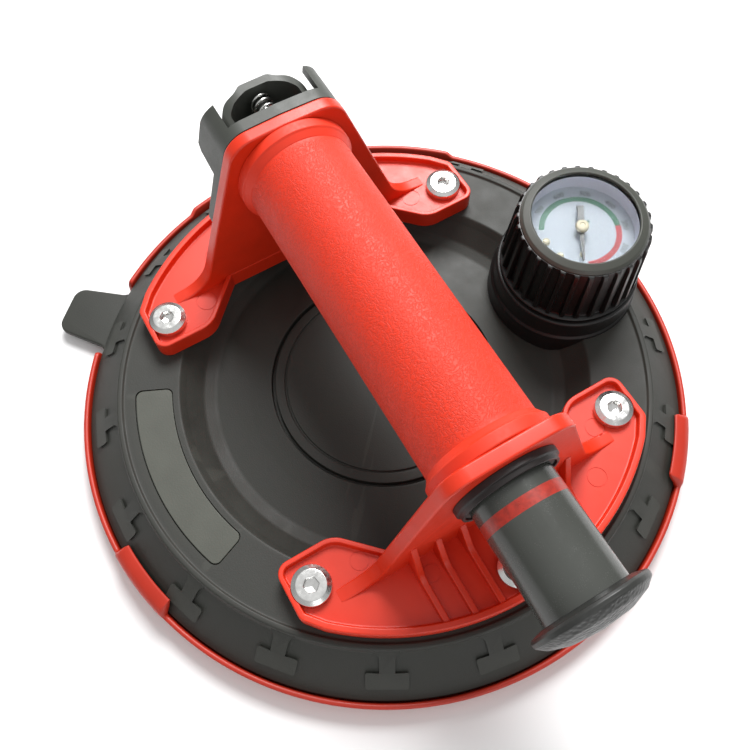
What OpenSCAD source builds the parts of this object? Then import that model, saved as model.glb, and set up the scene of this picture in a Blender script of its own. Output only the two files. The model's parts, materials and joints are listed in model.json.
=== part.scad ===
// Hand-pump vacuum suction cup: an 8-inch rubber pad with a bridge grip, a spring plunger pump
// inside the grip, a push-button release valve, a vacuum gauge and a clip-on pad cover.
// Origin: centre of the cover's underside. +Z is up, +X runs along the grip to the pump knob.
// +Y is the gauge side.

/* [Pad and cover] */
// Radius of the rubber pad
pad_r = 101.6; // [101.2:0.1:101.7]
// Height of the flat ring that carries the brackets
ring_z = 21; // [20.8:0.1:21.4]
// Radius at which the central bowl starts
bowl_r = 67.5; // [67:0.5:68]
// Outer radius of the pad cover
cover_r = 104; // [104:0.1:104.6]
// Thickness of the cover's floor
cover_t = 2; // [1.5:0.1:2]

/* [Brackets] */
// Outer radius of the bracket flanges
flange_r = 85.2; // [85:0.2:86]
// Thickness of the flange floor
flange_t = 4.5; // [4.2:0.1:5]
// Height of the raised border above the flange floor
lip_h = 2.5; // [1:0.5:4]
// Width of the raised border along the round edge
lip_w = 2.2; // [1.8:0.2:2.6]
// Width of the raised border along the other edges
side_lip_w = 1.6; // [1.4:0.1:1.7]
// Thickness of the uprights
upright_t = 4.4; // [4.3:0.1:4.6]
// Distance from the centre to an upright's inner face
upright_x = 55; // [54.5:0.1:55.5]
// Distance of the corner bolts from the centre along X
bolt_x = 50.7; // [50.5:0.1:51]
// Distance of the corner bolts from the centre along Y
bolt_y = 54.4; // [54.1:0.1:54.5]
// Distance of the middle bolts from the centre along X
mid_bolt_x = 76.5; // [76:0.1:77]

/* [Grip and pump] */
// Height of the grip's axis
grip_z = 67; // [66:0.5:68]
// Outer radius of the grip
grip_r = 16.8; // [16.2:0.1:17.4]
// Outer radius of the collars at the grip's ends
collar_r = 18.6; // [18:0.1:19]
// Outer radius of the pump barrel
barrel_r = 14.6; // [14.4:0.1:15]
// Bore radius of the pump barrel
bore_r = 13; // [12.9:0.05:13.1]
// Outer radius of the plunger tube
plunger_r = 12.1; // [12:0.05:12.2]
// Distance from the centre to the knob's underside
knob_x = 94.2; // [93.5:0.1:96]
// Radius of the knob
knob_r = 16.6; // [16:0.1:17.2]

/* [Release valve] */
// Height of the valve stem
stem_z = 76; // [75.8:0.1:76.2]
// Radius of the valve stem
stem_r = 1.6; // [1.5:0.05:1.7]
// Thickness of the valve end plate
plate_t = 4; // [3.9:0.1:4.2]

/* [Gauge] */
// Position of the gauge's axis along X
gauge_x = 0.5; // [0:0.5:3]
// Position of the gauge's axis along Y
gauge_y = 72; // [71.5:0.1:72.5]
// Outer radius of the bezel
bezel_r = 20.2; // [20:0.1:20.4]
// Height of the bezel's top
gauge_top = 57; // [57:0.1:57.6]
// Number of grip ribs round the gauge case
gauge_ribs = 30; // [24:1:32]

/* [Hidden] */
$fn = 96;

red = "#f0401e";
dark_red = "#c43c22";
black = "#2c2c2a";
grey = "#55564f";
steel = "#c8c8c8";
brass = "#c8a050";
white = "#e8ecf0";

run = 0.05;                                  // radial clearance of a running fit
flange_top = ring_z + flange_t;
lip_top = flange_top + lip_h;
upright_out = upright_x + upright_t;         // outer face of an upright
plate_out = upright_out + plate_t;           // outer face of the valve end plate
plate_z = ring_z - 5.5;                      // underside of the core plate's raised ring
core_t = 2;
core_flat_z = 9;                             // underside of the core plate's middle
core_r = 85;
shank_r = 3;
shank_low = 14.8;
insert_r = 4.2;
port = [-73, 14];                            // where the air passage goes down into the pad
port_r = 1.2;
passage_x = upright_x + upright_t / 2;
passage_z = ring_z + 2.2;
cap_end = upright_x;
head_r = 6.1;                                // bolt head
spot_r = head_r + 0.15;                      // room for a bolt head in the border
mid_z = 16.2;                                // top of the pad at its centre
cap_in = 46;                                 // distance from the centre to the barrel's closed end
spigot_in = 42;
piston_x = 50.5;
piston_l = 6;
dial_z = 49;
boss_r = 24.2;
boss_top = 30.2;
case_z = 31.2;
case_top = 54.2;
lens_top = 56.2;
case_r = 18;
tab_a = -136;
valve_chamber_x = 48.8;

function unit(v) = v / norm(v);
function corner_arc(a, p, b, r, n = 6) = r <= 0 ? [p] :
    let (u = unit(a - p), v = unit(b - p), half = acos(u * v) / 2,
        c = p + unit(u + v) * r / sin(half),
        s = p + u * r / tan(half), e = p + v * r / tan(half),
        a0 = atan2(s.y - c.y, s.x - c.x), a1 = atan2(e.y - c.y, e.x - c.x),
        d = (a1 - a0 + 540) % 360 - 180)
    [for (i = [0:n]) c + r * [cos(a0 + d * i / n), sin(a0 + d * i / n)]];
// A polygon's points with each corner rounded by its own radius
function rounded(pts, radii) = let (n = len(pts))
    [for (i = [0:n - 1]) each corner_arc(pts[(i + n - 1) % n], pts[i], pts[(i + 1) % n], radii[i])];
// A counter-clockwise polygon moved inwards by w
function inset(pts, w) = let (n = len(pts)) [for (i = [0:n - 1])
    let (p = pts[i], u = unit(pts[(i + n - 1) % n] - p), v = unit(pts[(i + 1) % n] - p),
        half = acos(u * v) / 2, side = u.x * v.y - u.y * v.x > 0 ? -1 : 1)
    p + side * unit(u + v) * w / sin(half)];
function mirrored(half) = concat(half, [for (i = [len(half) - 1:-1:0]) [half[i].x, -half[i].y]]);
// An upright's outline from its right half, points of distance across and height
function over_the_top(half) = concat(half, [top_middle],
    [for (i = [len(half) - 1:-1:0]) [-half[i].x, half[i].y]]);
function mirrored_radii(half) = concat(half, [for (i = [len(half) - 1:-1:0]) half[i]]);

// A turned piece on the grip's axis, from points of radius and distance along X
module turned(points) {
    translate([0, 0, grip_z]) rotate([0, 90, 0]) rotate_extrude() polygon(points);
}

// A round rod or bore along X
module rod_x(r, x0, x1, y, z) {
    translate([x0, y, z]) rotate([0, 90, 0]) cylinder(r = r, h = x1 - x0);
}

// An outline in the Y-Z plane, extruded from x0 to x1
module slab_x(points, x0, x1) {
    translate([x0, 0, 0]) rotate([90, 0, 90]) linear_extrude(x1 - x0) polygon(points);
}

// A round wire coil along X, as one swept tube
module coil(r, wire, x0, x1, z, turns) {
    sides = 8;
    steps = turns * 16;
    pitch = (x1 - x0 - 2 * wire) / steps;
    ring = [for (i = [0:steps]) let (a = 360 * i / 16) [for (k = [0:sides - 1])
        let (b = 360 * k / sides, q = r + wire * cos(b))
        [x0 + wire + pitch * i + wire * sin(b), q * cos(a), z + q * sin(a)]]];
    faces = concat([[for (k = [0:sides - 1]) k]],
        [for (i = [0:steps - 1], k = [0:sides - 1]) let (a = i * sides, n = (k + 1) % sides)
            [a + k, a + sides + k, a + sides + n, a + n]],
        [[for (k = [sides - 1:-1:0]) steps * sides + k]]);
    polyhedron([for (q = ring) each q], faces, convexity = 10);
}

// Bolt positions, four at the flange ends and two in the middle
bolt_places = [for (sx = [-1, 1])
    each [[sx * bolt_x, bolt_y], [sx * bolt_x, -bolt_y], [sx * mid_bolt_x, 0]]];

// ---- pad and cover ----

// Outside of the pad: lip, sloping band, ridge, flat ring, bowl with two grooves
pad_top = [[0, cover_t], [pad_r, cover_t], [pad_r, 7], [89, ring_z - 1.6], [88.4, ring_z + 0.7],
    [87, ring_z + 0.7], [86.4, ring_z], [bowl_r + 1, ring_z], [bowl_r, ring_z - 0.6],
    [bowl_r - 1.2, ring_z - 1.7], [61.5, 14.4], [59.5, 13.3], [57, 13], [46, 14.2], [38.1, 15.2],
    [38.1, 14.6], [37.1, 14.6], [37.1, 15.3], [33.9, 15.6], [33.9, 15], [32.9, 15], [32.9, 15.7],
    [0, mid_z]];
// Underside of the pad: the suction cavity and the seat of the core plate
pad_under = [[0, cover_t - 1], [98.4, cover_t - 1], [97.6, cover_t + 0.6], [92, 9.2], [86, 14.8],
    [core_r, plate_z], [core_r, plate_z + core_t], [67.8, plate_z + core_t],
    [61, core_flat_z + core_t], [0, core_flat_z + core_t]];

// Outline of the recessed band in the middle of the pad
triangle = [[0, -21.8], [17, 0], [-17, 0]];

module rubber_pad() {
    tab = rounded([[94, -11], [105, -11], [121.5, -8.8], [121.5, 8.8], [105, 11], [94, 11]],
        [0, 3, 3.5, 3.5, 3, 0]);
    color(black) difference() {
        union() {
            rotate_extrude() polygon(pad_top);
            translate([gauge_x, gauge_y, 3]) cylinder(r = boss_r, h = boss_top - 3);
            translate([gauge_x, gauge_y, 3]) cylinder(r = boss_r + 1, h = ring_z + 0.9 - 3);
            translate([0, 0, cover_t + 0.6]) rotate([0, 0, tab_a]) linear_extrude(2.4) polygon(tab);
        }
        rotate_extrude() polygon(pad_under);
        for (p = bolt_places) translate([p.x, p.y, 10]) cylinder(r = insert_r, h = 20);
        translate([port.x, port.y, 10]) cylinder(r = port_r, h = 20);
        translate([port.x, port.y, ring_z - 1.2]) cylinder(r = 3.4, h = 10);
        translate([gauge_x, gauge_y, 10]) cylinder(r = 4, h = 30);
        rotate([0, 0, -115]) rotate_extrude(angle = 46.5)
            translate([70.5, ring_z - 0.5]) square([11.8, 5]);
        translate([0, 0, mid_z - 0.8]) linear_extrude(3) difference() {
            polygon(rounded(triangle, [1.2, 1.2, 1.2]));
            polygon(inset(triangle, 3.4));
        }
    }
}

module label_panel() {
    color(grey) rotate([0, 0, -115]) rotate_extrude(angle = 46.5)
        translate([70.5, ring_z - 0.5]) square([11.8, 0.4]);
}

module core_plate() {
    profile = [[0, core_flat_z], [61.8, core_flat_z], [68.6, plate_z], [core_r, plate_z],
        [core_r, plate_z + core_t], [67.8, plate_z + core_t], [61, core_flat_z + core_t],
        [0, core_flat_z + core_t]];
    color(steel) difference() {
        rotate_extrude() polygon(profile);
        for (p = bolt_places) translate([p.x, p.y, 5]) cylinder(r = insert_r, h = 20);
        translate([port.x, port.y, 5]) cylinder(r = port_r, h = 20);
        translate([gauge_x, gauge_y, 5]) cylinder(r = 4, h = 20);
    }
}

module threaded_inserts() {
    color(brass) for (p = bolt_places) translate([p.x, p.y, 0]) difference() {
        union() {
            translate([0, 0, plate_z - 2]) cylinder(r = 6, h = 2);
            translate([0, 0, plate_z]) cylinder(r = insert_r, h = ring_z - plate_z);
        }
        translate([0, 0, shank_low - 0.3]) cylinder(r = shank_r, h = 10);
    }
}

// Part of the cover's rim from angle a0 to a1
module rim_part(a0, a1, points) {
    rotate([0, 0, a0]) rotate_extrude(angle = a1 - a0) polygon(points);
}

module pad_cover() {
    floor_edge = cover_r - 1.4;
    wall = [[0, 0], [floor_edge, 0], [cover_r - 0.6, 0.8], [cover_r, 7.8], [cover_r - 1.7, 7.8],
        [cover_r - 2.2, cover_t], [0, cover_t]];
    hook = [[cover_r - 1.6, 6.6], [cover_r, 6.8], [cover_r + 0.2, 9.6], [cover_r - 0.8, 11],
        [cover_r - 2.2, 11.2], [cover_r - 2.2, 8.6]];
    step = [[cover_r - 1.6, 4], [cover_r - 0.3, 4], [cover_r + 0.9, 5.2], [cover_r + 1, 8.6],
        [cover_r - 0.7, 8.6], [cover_r - 1.6, 7.6]];
    color(dark_red) union() {
        difference() {
            rotate_extrude() polygon(wall);
            rim_part(tab_a - 7.6, tab_a + 7.6, [[98, cover_t], [120, cover_t], [120, 20], [98, 20]]);
        }
        for (a = [-86, 39]) rim_part(a, a + 14, hook);
        for (a = [135, 171]) rim_part(a, a + 24, step);
    }
}

// ---- brackets, bolts and grip ----

// Half of the flange's outline, and the radii of its corners
flange_half = [[upright_x - 0.2, -28.5], [40.8, -42.4], [40.8, -61.8], [57.6, -61.8], [64, -57.2],
    [110, -40]];
flange_corners = [0, 9, 4.2, 3.2, 0, 0];
flange_line = mirrored(flange_half);
flange_radii = mirrored_radii(flange_corners);
top_corner = [17.3, 84.9];
top_middle = [0, 85.5];
upright_half = [[49, ring_z + 3], [49, flange_top + 0.1], [37.6, 27.4], top_corner];
upright_line = over_the_top(upright_half);
upright_radii = [0, 0, 12, 9, 30, 9, 12, 0, 0];

// Flange floor with its raised border
module flange() {
    inner = [for (r = flange_radii) max(r - side_lip_w, 0)];
    intersection() {
        translate([0, 0, ring_z]) linear_extrude(lip_top - ring_z)
            polygon(rounded(flange_line, flange_radii));
        difference() {
            translate([0, 0, ring_z]) cylinder(r = flange_r, h = lip_top - ring_z);
            intersection() {
                translate([0, 0, flange_top]) cylinder(r = flange_r - lip_w, h = 10);
                translate([0, 0, flange_top]) linear_extrude(10)
                    polygon(rounded(inset(flange_line, side_lip_w), inner));
            }
        }
    }
}

module bracket_body() {
    flange();
    slab_x(rounded(upright_line, upright_radii), upright_x, upright_out);
}

module bracket_holes() {
    for (sy = [-1, 1]) translate([bolt_x, sy * bolt_y, 0]) {
        translate([0, 0, 10]) cylinder(r = shank_r + 0.2, h = 30);
        translate([0, 0, flange_top]) cylinder(r = spot_r, h = 10);
    }
    translate([mid_bolt_x, 0, 10]) cylinder(r = shank_r + 0.2, h = 30);
}

// A stiffening rib from the upright's foot to the border
module rib(y, top) {
    end = sqrt(pow(flange_r, 2) - pow(abs(y) + 1, 2)) - 1.5;
    slope = [[upright_out - 1, ring_z + 1], [end, ring_z + 1], [end, flange_top + 1.8],
        [upright_out + 6, flange_top + 3.4], [upright_out, top], [upright_out - 1, top]];
    translate([0, y + 1, 0]) rotate([90, 0, 0]) linear_extrude(2) polygon(slope);
}

module bracket_pump_end() {
    color(red) difference() {
        union() {
            bracket_body();
            for (s = [-1, 1]) {
                rib(s * 9, 37);
                rib(s * 17.4, 38);
                rib(s * 25.8, 45);
            }
        }
        bracket_holes();
        rod_x(barrel_r, upright_x - 1, upright_out + 1, 0, grip_z);
    }
}

module bracket_valve_end() {
    color(red) difference() {
        mirror([1, 0, 0]) difference() {
            bracket_body();
            bracket_holes();
        }
        rod_x(3.6, -upright_out - 1, -upright_x + 1, 0, stem_z);
        rod_x(port_r, -passage_x, -upright_x + 1, 0, grip_z);
        translate([-passage_x, 0, passage_z]) cylinder(r = port_r, h = grip_z - passage_z);
        translate([-passage_x, 0, passage_z]) rotate([0, 0, atan2(port.y, port.x + passage_x)])
            rotate([0, 90, 0]) cylinder(r = 1.1, h = norm([port.x + passage_x, port.y]));
        translate([port.x, port.y, ring_z - 1]) cylinder(r = port_r, h = passage_z - ring_z + 1);
        for (sy = [-1, 1]) rod_x(screw_r, -upright_out - 1, -upright_x - 0.9, sy * screw_y, screw_z);
    }
}

module bracket_bolts() {
    head_h = 3.2;
    head = [[0, flange_top], [head_r, flange_top], [head_r, flange_top + 2.3],
        [4.9, flange_top + head_h], [0, flange_top + head_h]];
    color(steel) for (p = bolt_places) translate([p.x, p.y, 0]) difference() {
        union() {
            rotate_extrude() polygon(head);
            translate([0, 0, shank_low]) cylinder(r = shank_r, h = flange_top - shank_low);
        }
        translate([0, 0, flange_top + 1]) cylinder(r = 2.2, h = 5, $fn = 6);
    }
}

module grip_sleeve() {
    half = [[barrel_r, upright_x], [collar_r, upright_x], [collar_r, upright_x - 3.6],
        [collar_r - 1.1, upright_x - 4.8], [grip_r, upright_x - 5.4]];
    color(red) turned(concat(half, [for (i = [len(half) - 1:-1:0]) [half[i].x, -half[i].y]]));
}

// ---- pump ----

module pump_barrel() {
    color(black) turned([[bore_r, -cap_in], [barrel_r, -cap_in], [barrel_r, upright_out],
        [bore_r, upright_out]]);
}

gland_in = piston_x + piston_l + 0.3;
gland_x = upright_out + 3.4;

module plunger_gland() {
    inner = plunger_r + run;
    color(black) turned([[inner, gland_in], [bore_r, gland_in],
        [bore_r, upright_out], [barrel_r + 0.6, upright_out], [barrel_r + 0.6, gland_x - 0.6],
        [barrel_r, gland_x], [inner + 0.6, gland_x], [inner + 0.6, gland_x - 0.7],
        [inner + 1.3, gland_x - 0.7], [inner + 1.3, gland_x - 1.7], [inner, gland_x - 1.7]]);
}

module plunger_wiper() {
    inner = plunger_r + run;
    color(black) turned([[inner, gland_x - 1.7], [inner + 1.3, gland_x - 1.7],
        [inner + 1.3, gland_x - 0.7], [inner, gland_x - 0.7]]);
}

band_x = [66.8, 70.2];
tube_in = 10.2;

module plunger_tube() {
    x0 = piston_x + piston_l;
    color(black) turned([[tube_in, x0], [plunger_r, x0], [plunger_r, band_x[0]],
        [plunger_r - 0.5, band_x[0]], [plunger_r - 0.5, band_x[1]], [plunger_r, band_x[1]],
        [plunger_r, knob_x], [tube_in, knob_x]]);
}

module plunger_band() {
    color(red) turned([[plunger_r - 0.5, band_x[0]], [plunger_r, band_x[0]],
        [plunger_r, band_x[1]], [plunger_r - 0.5, band_x[1]]]);
}

module plunger_knob() {
    color(black) turned([[0, knob_x - 3.2], [tube_in, knob_x - 3.2], [tube_in, knob_x],
        [knob_r - 3.6, knob_x], [knob_r - 0.6, knob_x + 0.8], [knob_r, knob_x + 1.8],
        [knob_r - 0.2, knob_x + 2.9], [knob_r - 3, knob_x + 4.9], [knob_r - 8, knob_x + 6.5],
        [0, knob_x + 7.2]]);
}

module piston_head() {
    x1 = piston_x + piston_l;
    color(grey) turned([[2, piston_x], [12.5, piston_x], [12.5, piston_x + 2], [11.2, piston_x + 2],
        [11.2, piston_x + 4], [12.5, piston_x + 4], [12.5, x1], [2, x1]]);
}

module piston_seal() {
    color(black) turned([[11.2, piston_x + 2], [bore_r - run, piston_x + 2],
        [bore_r - run, piston_x + 4], [11.2, piston_x + 4]]);
}

module outlet_check_valve() {
    x1 = piston_x + piston_l;
    color(black) turned([[0, x1], [4.5, x1], [4.5, x1 + 0.8], [0, x1 + 0.8]]);
}

module return_spring() {
    color(steel) coil(9.5, 0.8, -spigot_in, piston_x, grip_z, 11);
}

module inlet_check_valve() {
    color(black) turned([[0, -spigot_in], [5, -spigot_in], [5, -spigot_in + 0.8],
        [0, -spigot_in + 0.8]]);
}

module barrel_end_cap() {
    color(grey) difference() {
        turned([[0, -cap_end], [barrel_r, -cap_end], [barrel_r, -cap_in], [bore_r, -cap_in],
            [bore_r, -cap_in + 1], [12, -cap_in + 1], [12, -cap_in + 2.6], [bore_r, -cap_in + 2.6],
            [bore_r, -spigot_in], [0, -spigot_in]]);
        rod_x(port_r, -cap_end - 1, -spigot_in + 1, 0, grip_z);
        rod_x(4.2, -cap_end - 1, -valve_chamber_x, 0, stem_z);
        translate([-52, 0, grip_z]) cylinder(r = port_r, h = stem_z - grip_z);
    }
}

module end_cap_seal() {
    color(black) turned([[12, -cap_in + 1], [bore_r, -cap_in + 1], [bore_r, -cap_in + 2.6],
        [12, -cap_in + 2.6]]);
}

module air_port_seal() {
    color(black) translate([port.x, port.y, ring_z - 1.2]) difference() {
        cylinder(r = 3.4, h = 1.2);
        translate([0, 0, -1]) cylinder(r = port_r, h = 5);
    }
}

// ---- release valve ----

button_in = plate_out + 0.3;                 // distance from the centre to the button's legs
button_out = 78.2;
pocket_x = plate_out - 3;                    // floor of the button's pocket in the end plate
screw_r = 1.5;
screw_y = 22;
screw_z = 54;
plate_line = over_the_top([[29.8, 46], top_corner]);
plate_radii = [5, 9, 30, 9, 5];
button_line = [[14, 56], [14, 79], [8, 82], [-8, 82], [-14, 79], [-14, 56]];
button_radii = [2, 3, 12, 12, 3, 2];

module valve_seat() {
    color(brass) difference() {
        rod_x(3.6, -upright_out, -upright_x, 0, stem_z);
        rod_x(2.4, -upright_out - 1, -upright_x + 1, 0, stem_z);
    }
}

module valve_end_plate() {
    wing = [[-plate_out + 1, 68.6], [-plate_out + 1, 90], [-72.5, 90], [-73.4, 84], [-75, 78],
        [-74.8, 70.8], [-72.4, 69.5]];
    color(grey) difference() {
        union() {
            slab_x(rounded(plate_line, plate_radii), -plate_out, -upright_out);
            intersection() {
                difference() {
                    slab_x(rounded(plate_line, plate_radii), -76, -plate_out);
                    slab_x(rounded(inset(plate_line, 2.8), [for (r = plate_radii) max(r - 2.8, 0)]),
                        -80, -plate_out + 1);
                    translate([-100, -14.7, 40]) cube([50, 29.4, 60]);
                }
                translate([0, 50, 0]) rotate([90, 0, 0]) linear_extrude(100) polygon(wing);
            }
        }
        slab_x(rounded(inset(button_line, -0.4), button_radii), -plate_out - 1, -pocket_x);
        rod_x(stem_r + run, -pocket_x - 1, -upright_out + 1, 0, stem_z);
        for (sy = [-1, 1]) rod_x(screw_r, -plate_out - 1, -upright_out + 1, sy * screw_y, screw_z);
    }
}

module valve_plate_screws() {
    color(steel) for (sy = [-1, 1]) difference() {
        union() {
            rod_x(screw_r, -plate_out, -upright_x - 0.9, sy * screw_y, screw_z);
            rod_x(3, -plate_out - 1.4, -plate_out, sy * screw_y, screw_z);
        }
        for (turn = [0, 90]) translate([-plate_out - 1.4, sy * screw_y, screw_z])
            rotate([turn, 0, 0]) cube([1.6, 0.8, 4], center = true);
    }
}

module release_button() {
    half = [[-button_in, -14], [-71.4, -14], [-75.2, -11.2], [-76.2, -7], [-button_out, -4.6]];
    bow = rounded(mirrored(half), mirrored_radii([0, 4, 3, 2.5, 3]));
    hollow = mirrored([[-button_in + 1, -11.2], [-70.4, -11], [-73, -9], [-75.4, -4.2]]);
    color(grey) difference() {
        intersection() {
            slab_x(rounded(button_line, button_radii), -button_out - 1, -button_in);
            union() {
                difference() {
                    translate([0, 0, 50]) linear_extrude(40) polygon(bow);
                    translate([0, 0, 40]) linear_extrude(60) polygon(hollow);
                }
                for (z = [56, 66]) intersection() {
                    translate([0, 0, z]) linear_extrude(2) polygon(bow);
                    translate([-80, -14.5, z]) cube([12, 29, 2]);
                }
                rod_x(2.1, -76, -71, 0, stem_z);
            }
        }
        rod_x(stem_r, -75.4, -70, 0, stem_z);
    }
}

module valve_stem() {
    color(steel) rod_x(stem_r, -75.4, -upright_x + 1.9, 0, stem_z);
}

module valve_disc() {
    color(black) difference() {
        rod_x(3.6, -upright_x + 0.1, -upright_x + 1.9, 0, stem_z);
        rod_x(stem_r, -upright_x, -upright_x + 3, 0, stem_z);
    }
}

module release_spring() {
    color(steel) coil(3.1, 0.45, -75.2, -pocket_x, stem_z, 6);
}

// ---- gauge ----

module at_gauge() {
    translate([gauge_x, gauge_y, 0]) children();
}

module gauge_gasket() {
    color(black) at_gauge() translate([0, 0, boss_top]) difference() {
        cylinder(r = 22, h = case_z - boss_top);
        translate([0, 0, -1]) cylinder(r = 4, h = 5);
    }
}

module gauge_stem() {
    color(brass) at_gauge() translate([0, 0, 12]) difference() {
        cylinder(r = 4, h = 26);
        translate([0, 0, -1]) cylinder(r = 1, h = 24);
    }
}

module gauge_case() {
    shell = [[4, case_z], [22.9, case_z], [23.4, case_z + 0.4], [23.4, case_z + 1], [21.8, case_z + 1.5],
        [bezel_r + 0.4, case_top - 0.8], [bezel_r, case_top], [case_r, case_top], [case_r, case_z + 4],
        [4, case_z + 4]];
    rib_side = [[20, case_z + 0.8], [23, case_z + 0.8], [21.9, case_top + 0.6], [21.5, case_top + 1],
        [bezel_r + run, case_top + 1], [bezel_r + run, case_top], [19.6, case_top]];
    color(black) at_gauge() union() {
        rotate_extrude() polygon(shell);
        for (i = [0:gauge_ribs - 1]) rotate([90, 0, i * 360 / gauge_ribs])
            translate([0, 0, -1.1]) linear_extrude(2.2) polygon(rib_side);
    }
}

module gauge_liner() {
    color(white) at_gauge() translate([0, 0, dial_z]) difference() {
        cylinder(r = case_r, h = case_top - dial_z);
        translate([0, 0, -1]) cylinder(r = case_r - 0.8, h = 10);
    }
}

module gauge_bezel() {
    ring = [[17.8, case_top], [bezel_r, case_top], [bezel_r, gauge_top - 1.6],
        [bezel_r - 0.8, gauge_top - 0.7], [17.2, gauge_top], [16.8, gauge_top - 0.3], [16.8, lens_top],
        [17.8, lens_top]];
    color(grey) at_gauge() rotate_extrude() polygon(ring);
}

module gauge_lens() {
    color("white", 0.3) at_gauge() translate([0, 0, case_top])
        cylinder(r = 17.8, h = lens_top - case_top);
}

module gauge_dial() {
    color(white) at_gauge() translate([0, 0, dial_z - 1]) difference() {
        cylinder(r = case_r, h = 1);
        translate([0, 0, -1]) cylinder(r = 0.95, h = 5);
    }
}

module dial_pins() {
    color(brass) at_gauge() {
        for (a = [-99.6, -68]) rotate([0, 0, a]) translate([12, 0, dial_z]) cylinder(r = 1.2, h = 1);
        rotate([0, 0, -32.6]) translate([9, 0, dial_z]) cylinder(r = 0.8, h = 1.2);
    }
}

pointer_rest = -33;

module gauge_pointer() {
    blade = [[-8.4, -1.15], [0, -0.9], [12.2, -0.3], [12.2, 0.3], [0, 0.9], [-8.4, 1.15]];
    color(grey) at_gauge() difference() {
        rotate([0, 0, pointer_rest]) translate([0, 0, dial_z + 1.6]) linear_extrude(0.4) polygon(blade);
        cylinder(r = 0.6, h = 80);
    }
}

module pointer_hub() {
    color(white) at_gauge() {
        translate([0, 0, dial_z + 2]) cylinder(r = 2.1, h = 1.6);
        translate([0, 0, 41]) cylinder(r = 0.6, h = dial_z + 2.5 - 41);
    }
}

module gauge_movement() {
    color(brass) at_gauge() difference() {
        union() {
            translate([-7, -5, 38]) cube([14, 10, 6]);
            translate([6, -1.5, 39.6]) cube([7, 3, 2.8]);
        }
        translate([0, 0, 40]) cylinder(r = 0.6 + run, h = 10);
    }
}

module bourdon_tube() {
    color(brass) at_gauge() translate([0, 0, 41]) rotate([0, 0, 6.5]) rotate_extrude(angle = 250)
        translate([13.5, 0]) circle(r = 1.6);
}

pad_cover();
rubber_pad();
label_panel();
core_plate();
threaded_inserts();
bracket_pump_end();
bracket_valve_end();
bracket_bolts();
grip_sleeve();
pump_barrel();
plunger_gland();
plunger_wiper();
plunger_tube();
plunger_band();
plunger_knob();
piston_head();
piston_seal();
outlet_check_valve();
return_spring();
inlet_check_valve();
barrel_end_cap();
end_cap_seal();
air_port_seal();
valve_seat();
valve_end_plate();
valve_plate_screws();
release_button();
valve_stem();
valve_disc();
release_spring();
gauge_gasket();
gauge_stem();
gauge_case();
gauge_liner();
gauge_bezel();
gauge_lens();
gauge_dial();
dial_pins();
gauge_pointer();
pointer_hub();
gauge_movement();
bourdon_tube();
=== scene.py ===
import json
import math

import bmesh
import bpy
from mathutils import Matrix, Vector, noise


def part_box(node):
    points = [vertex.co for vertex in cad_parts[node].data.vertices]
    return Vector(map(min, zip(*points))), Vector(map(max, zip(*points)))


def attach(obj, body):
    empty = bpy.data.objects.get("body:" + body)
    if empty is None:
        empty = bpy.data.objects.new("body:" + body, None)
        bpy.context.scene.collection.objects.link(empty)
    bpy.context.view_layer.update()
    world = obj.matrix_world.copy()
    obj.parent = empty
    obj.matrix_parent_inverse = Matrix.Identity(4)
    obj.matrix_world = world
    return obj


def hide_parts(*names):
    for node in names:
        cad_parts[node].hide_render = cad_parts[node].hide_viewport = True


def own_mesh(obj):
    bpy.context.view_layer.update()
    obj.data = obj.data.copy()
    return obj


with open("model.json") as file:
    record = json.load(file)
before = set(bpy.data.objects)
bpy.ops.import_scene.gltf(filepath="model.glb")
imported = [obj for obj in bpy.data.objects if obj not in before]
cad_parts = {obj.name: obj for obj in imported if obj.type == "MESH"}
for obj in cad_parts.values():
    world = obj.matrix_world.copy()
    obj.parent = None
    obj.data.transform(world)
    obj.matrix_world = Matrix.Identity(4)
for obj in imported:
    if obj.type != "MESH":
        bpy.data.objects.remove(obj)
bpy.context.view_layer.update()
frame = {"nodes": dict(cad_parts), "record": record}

# Geometry is written in millimetres and angles in degrees, and becomes metres where a mesh is made.
MM = 0.001


def span(node, axis):
    """Lowest and highest coordinate of a CAD node along one axis, in millimetres."""
    low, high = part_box(node)
    return low[axis] / MM, high[axis] / MM


# ---- sizes read from the frame ----

PAD_R = span("rubber_pad", 1)[1]
RAISED_OUT = 1.0                                   # how far the raised rim stands out
COVER_R = -span("pad_cover", 0)[0] - RAISED_OUT
RING_Z = span("bracket_pump_end", 2)[0]            # top of the pad's flat ring
UPRIGHT_TOP = span("bracket_pump_end", 2)[1]
UPRIGHT_IN = span("grip_sleeve", 0)[1]
UPRIGHT_OUT = span("pump_barrel", 0)[1]
FLANGE_R = span("bracket_pump_end", 0)[1]
GRIP_Z = sum(span("grip_sleeve", 2)) / 2
COLLAR_R = span("grip_sleeve", 1)[1]
BARREL_R = span("pump_barrel", 1)[1]
PLUNGER_R = span("plunger_tube", 1)[1]
KNOB_IN, KNOB_OUT = span("plunger_tube", 0)[1], span("plunger_knob", 0)[1]
KNOB_R = span("plunger_knob", 1)[1]
STEM_Z = sum(span("valve_stem", 2)) / 2
BUTTON_OUT = -span("release_button", 0)[0]
GAUGE_X = sum(span("gauge_bezel", 0)) / 2
GAUGE_Y = sum(span("gauge_bezel", 1)) / 2
BEZEL_LOW, BEZEL_TOP = span("gauge_bezel", 2)
BEZEL_R = (span("gauge_bezel", 0)[1] - span("gauge_bezel", 0)[0]) / 2
DIAL_Z = span("gauge_dial", 2)[1]
CASE_Z = span("gauge_case", 2)[0]
BOSS_TOP = span("rubber_pad", 2)[1]
BOLT_TOP = span("bracket_bolts", 2)[1]

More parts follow.
